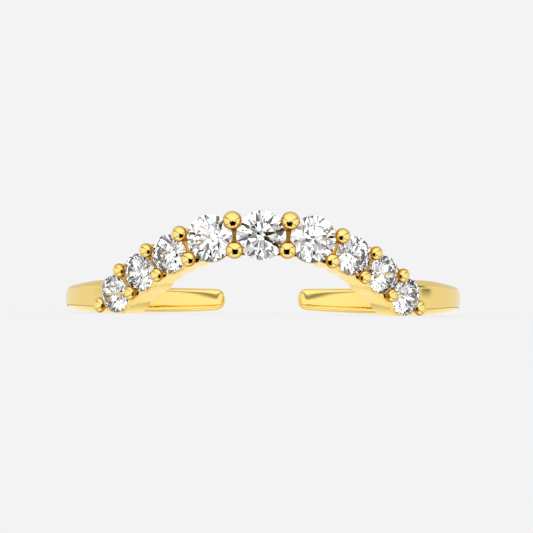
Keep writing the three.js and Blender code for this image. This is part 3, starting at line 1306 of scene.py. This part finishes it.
@dataclass(frozen=True)
class CutCrystal:
    """Clear, bright crystal with polished facets and a trace of haze."""

    polish: FinePolish = FinePolish()
    refraction: float = 2.2
    clear: Colour = WHITE
    faint: Colour = (0.96, 0.975, 1.0, 1.0)
    roughness: Fade = Fade(0.0, 1.0, 0.0, 0.012)

    def material(self) -> bpy.types.Material:
        """Builds the crystal, with haze in its colour and the cloth's marks in its roughness.

        Returns:
            The material.
        """
        material, wiring, shader = blank_material("cut_crystal")
        haze, marks = self.polish.placed(wiring)
        wiring.feed(shader, {
            "Transmission Weight": 1.0,
            "IOR": self.refraction,
            "Base Color": wiring.mix(Mixed.COLOURS, haze, self.clear, self.faint),
            "Roughness": wiring.fade(marks, self.roughness, even=True),
        })
        return material


# ---- studio -------------------------------------------------------------------------------------


@dataclass(frozen=True)
class LightTent:
    """A white tent round the ring, which only reflections and the stones see.

    All of it is worked out from the direction looked along. The levels of the panels and the seams
    fade along its Y part. The seams and the poles fade out with the angle from their middle, in
    radians: the rise over the horizon, or the bearing from straight ahead. The poles end along Z,
    and X says how dark they are.
    """

    backdrop: float = 0.896
    ceiling: Fade = Fade(-0.9, 0.7, 1.25, 0.72)
    walls: Fade = Fade(-0.9, 0.6, 1.12, 0.86)
    under: Fade = Fade(-0.9, -0.5, 0.5, 1.1)
    under_middle: Fade = Fade(-0.4, 0.2, 0.0, -0.4)
    under_back: Fade = Fade(0.25, 0.75, 0.0, 0.3)
    wall_top: Fade = Fade(0.44, 0.5, 0.0, 1.0)
    wall_foot: Fade = Fade(0.0, 0.6, -0.58, -0.38)
    foot_edge: Fade = Fade(-0.03, 0.03, 1.0, 0.0)
    top_seam_rise: float = 0.47
    top_seam: Fade = Fade(0.02, 0.14, 0.0, 1.0)
    top_seam_level: Fade = Fade(0.1, 0.6, 0.3, 1.0)
    foot_seam: Fade = Fade(0.02, 0.1, 0.0, 1.0)
    foot_seam_level: Fade = Fade(-0.3, 0.3, 0.2, 0.55)
    opening: Fade = Fade(0.09, 0.12, 0.0, 1.0)
    nearly_sideways: float = 0.001
    pole_bearing: float = 1.92
    pole: Fade = Fade(0.03, 0.14, 1.0, 0.0)
    pole_height: float = 0.075
    pole_foot: Fade = Fade(0.01, 0.09, 1.0, 0.0)
    pole_top: Fade = Fade(0.2, 0.3, 0.0, 1.0)
    pole_depth: Fade = Fade(-0.1, 0.1, 0.12, 0.7)
    flash_scale: float = 8.5
    flash_gain: float = 1.43
    flashes: tuple[tuple[float, float], ...] = ((0.0, 0.0), (0.17, 0.22), (0.25, 0.6), (0.35, 1.0))

    def panels(self, wiring: Wiring, place: bpy.types.NodeSocket) -> bpy.types.NodeSocket:
        """Works out the tent's brightness: panels, darkened by the seams, the opening and the poles.

        Args:
            wiring: the world's wiring.
            place: the direction looked along.

        Returns:
            The brightness in that direction.
        """
        fade, mix, math_node = wiring.fade, wiring.mix, wiring.math
        parts = wiring.add("SeparateXYZ", {"Vector": place}).outputs
        x, y, z = parts["X"], parts["Y"], parts["Z"]
        aside, ahead = math_node("ABSOLUTE", x), math_node("MULTIPLY", y, -1.0)
        rise = math_node("ARCTAN2", z, aside)
        from_foot = math_node("SUBTRACT", rise, fade(y, self.wall_foot))
        below = math_node("ADD", fade(y, self.under_middle), fade(y, self.under_back))
        below = math_node("ADD", fade(y, self.under), below)
        upright = mix(Mixed.LEVELS, fade(rise, self.wall_top), fade(y, self.walls), fade(y, self.ceiling))
        panel = mix(Mixed.LEVELS, fade(from_foot, self.foot_edge), upright, below)
        from_top = wiring.apart(rise, self.top_seam_rise)
        top_seam = fade(from_top, self.top_seam, fade(y, self.top_seam_level))
        foot_seam = fade(math_node("ABSOLUTE", from_foot), self.foot_seam, fade(y, self.foot_seam_level))
        off_lens = math_node("MAXIMUM", aside, math_node("ABSOLUTE", z))
        off_lens = math_node("DIVIDE", off_lens, math_node("MAXIMUM", ahead, self.nearly_sideways))
        bearing = math_node("ARCTAN2", aside, ahead)
        pole = fade(wiring.apart(bearing, self.pole_bearing), self.pole)
        foot = fade(wiring.apart(z, self.pole_height), self.pole_foot)
        length = math_node("MAXIMUM", foot, fade(z, self.pole_top))
        shade = math_node("SUBTRACT", 1.0, wiring.times(pole, length, fade(x, self.pole_depth)))
        return wiring.times(panel, top_seam, foot_seam, fade(off_lens, self.opening), shade)

    def sparkle(self, wiring: Wiring, place: bpy.types.NodeSocket) -> bpy.types.NodeSocket:
        """Breaks the tent up into angular patches, each of one drawn level.

        Args:
            wiring: the world's wiring.
            place: the direction looked along.

        Returns:
            The patch's level in that direction.
        """
        patches = wiring.add("TexVoronoi", {"Vector": place, "Scale": self.flash_scale})
        draw = wiring.add("SeparateColor", {"Color": patches.outputs["Color"]}).outputs["Red"]
        levels = wiring.add("ValToRGB", {"Fac": draw})
        levels.color_ramp.interpolation = "CONSTANT"
        stops = levels.color_ramp.elements
        for number, (start, level) in enumerate(self.flashes):
            stop = stops[number] if number < 2 else stops.new(start)
            stop.position, stop.color = start, (level, level, level, 1.0)
        return levels.outputs["Color"]

    def build(self) -> None:
        """Makes the tent: patches for what shines through, a plain backdrop for the camera."""
        world = bpy.data.worlds.new("light_tent")
        bpy.context.scene.world = world
        world.use_nodes = True
        world.node_tree.nodes.clear()
        wiring = Wiring(world.node_tree)
        place = wiring.add("TexCoord", {}).outputs["Generated"]
        tent = self.panels(wiring, place)
        flashing = wiring.times(tent, self.sparkle(wiring, place), self.flash_gain)
        path = wiring.add("LightPath", {}).outputs
        light = wiring.mix(Mixed.LEVELS, path["Is Transmission Ray"], tent, flashing)
        shown = wiring.mix(Mixed.LEVELS, path["Is Camera Ray"], light, self.backdrop)
        background = wiring.add("Background", {"Color": WHITE, "Strength": shown})
        wiring.add("OutputWorld", {"Surface": background.outputs["Background"]})


@dataclass
class Studio:
    """A pale floor in the light tent, a camera in front and a black card that the gold mirrors.

    Lengths are in millimetres and angles in degrees. The picture, and the axis and the horizon in
    it, are measured in dots, and the scale is dots for each millimetre at the finger axis.
    """

    axis: np.ndarray
    tent: LightTent = LightTent()
    distance: float = 190.0
    eye_height: float = 0.18
    yaw: float = 0.637
    roll: float = 0.55
    scale: float = 19.91
    axis_column: float = 262.8
    horizon_row: float = 310.9
    picture: int = 533
    sensor: float = 36.0
    nearest: float = 1.0
    farthest: float = 10000.0
    lamp_place: tuple[float, float, float] = (-1200.0, -960.0, 2640.0)
    lamp_size: float = 1440.0
    lamp_power: float = 10.1
    floor_reach: float = 900.0
    floor_colour: Colour = (0.9, 0.9, 0.9, 1.0)
    floor_roughness: float = 0.9
    card_distance: float = 24.0
    card_outline: tuple[tuple[float, float], ...] = (
        (-12.0, -17.0), (0.0, -13.5), (12.0, -17.0), (7.5, -6.0),
        (9.5, 5.0), (0.0, 2.8), (-9.5, 5.0), (-7.5, -6.0),
    )
    card_colour: Colour = (0.004, 0.003, 0.002, 1.0)
    card_roughness: float = 0.5

    def camera(self) -> None:
        """Makes the camera, level with the floor, straight in front of the row."""
        data = bpy.data.cameras.new("camera")
        data.sensor_width = self.sensor
        focus = self.scale * self.distance
        data.lens = focus / self.picture * data.sensor_width
        data.clip_start, data.clip_end = self.nearest * MM, self.farthest * MM
        right = math.atan((self.picture / 2 - self.axis_column) / focus)
        up = math.atan((self.horizon_row - self.picture / 2) / focus)
        eye = bpy.data.objects.new("camera", data)
        yaw = math.radians(self.yaw)
        eye.location = (
            (self.axis[0] + self.distance * math.sin(yaw)) * MM,
            (self.axis[1] - self.distance * math.cos(yaw)) * MM,
            self.eye_height * MM,
        )
        eye.rotation_euler = (math.pi / 2 + up, -math.radians(self.roll), yaw - right)
        bpy.context.scene.collection.objects.link(eye)
        bpy.context.scene.camera = eye

    def lamp(self) -> None:
        """Hangs a wide soft lamp up to the left, which only the floor's shadow shows."""
        data = bpy.data.lights.new("soft_lamp", "AREA")
        data.shape, data.size = "DISK", self.lamp_size * MM
        data.energy = self.lamp_power
        lamp = bpy.data.objects.new("soft_lamp", data)
        lamp.location = [value * MM for value in self.lamp_place]
        lamp.rotation_euler = (-lamp.location).to_track_quat("-Z", "Y").to_euler()
        lamp.visible_glossy = lamp.visible_transmission = lamp.visible_camera = False
        bpy.context.scene.collection.objects.link(lamp)

    def sheet(self, name: str, corners: np.ndarray, colour: Colour, roughness: float) -> bpy.types.Object:
        """Makes a flat matt sheet that the stones don't see.

        Args:
            name: the sheet's name.
            corners: its corners in millimetres, in order round.
            colour: its colour.
            roughness: its roughness.

        Returns:
            The sheet, linked into the scene.
        """
        mesh = bpy.data.meshes.new(name)
        mesh.from_pydata((corners * MM).tolist(), [], [tuple(range(len(corners)))])
        material, wiring, shader = blank_material(name)
        wiring.feed(shader, {"Base Color": colour, "Roughness": roughness, "Specular IOR Level": 0.0})
        mesh.materials.append(material)
        sheet = bpy.data.objects.new(name, mesh)
        sheet.visible_transmission = False
        bpy.context.scene.collection.objects.link(sheet)
        return sheet

    def floor(self) -> None:
        """Lays the pale floor that the ring stands on, which no reflection sees."""
        corners = np.array([(-1, -1, 0), (1, -1, 0), (1, 1, 0), (-1, 1, 0)]) * self.floor_reach
        floor = self.sheet("floor", corners, self.floor_colour, self.floor_roughness)
        floor.visible_glossy = False

    def card(self) -> None:
        """Stands a black card in front of the ring, which only reflections see."""
        corners = np.insert(np.array(self.card_outline), 1, self.axis[1] - self.card_distance, axis=1)
        card = self.sheet("black_card", corners, self.card_colour, self.card_roughness)
        card.visible_camera = card.visible_diffuse = card.visible_shadow = False

    def build(self) -> None:
        """Sets up the camera, the tent, the lamp, the floor and the card."""
        bpy.context.scene.view_settings.view_transform = "Standard"
        self.camera()
        self.tent.build()
        self.lamp()
        self.floor()
        self.card()


def main() -> None:
    """Builds the ring in order."""
    logging.basicConfig(level=logging.INFO, format="%(name)s %(message)s")
    cut = BrilliantCut()
    row = Row()
    shop = Workshop(row, cut)
    FinePolish().group()

    gold_work = GoldWork(Band(), Setting(row, cut))
    gold = gold_work.build(shop)
    gold_work.dress(gold, PolishedGold())

    stones = Stones(row, cut)
    stones.dress(stones.build(shop), CutCrystal())

    Studio(shop.shift).build()

    log.info("boxes written")


if __name__ == "__main__":
    main()
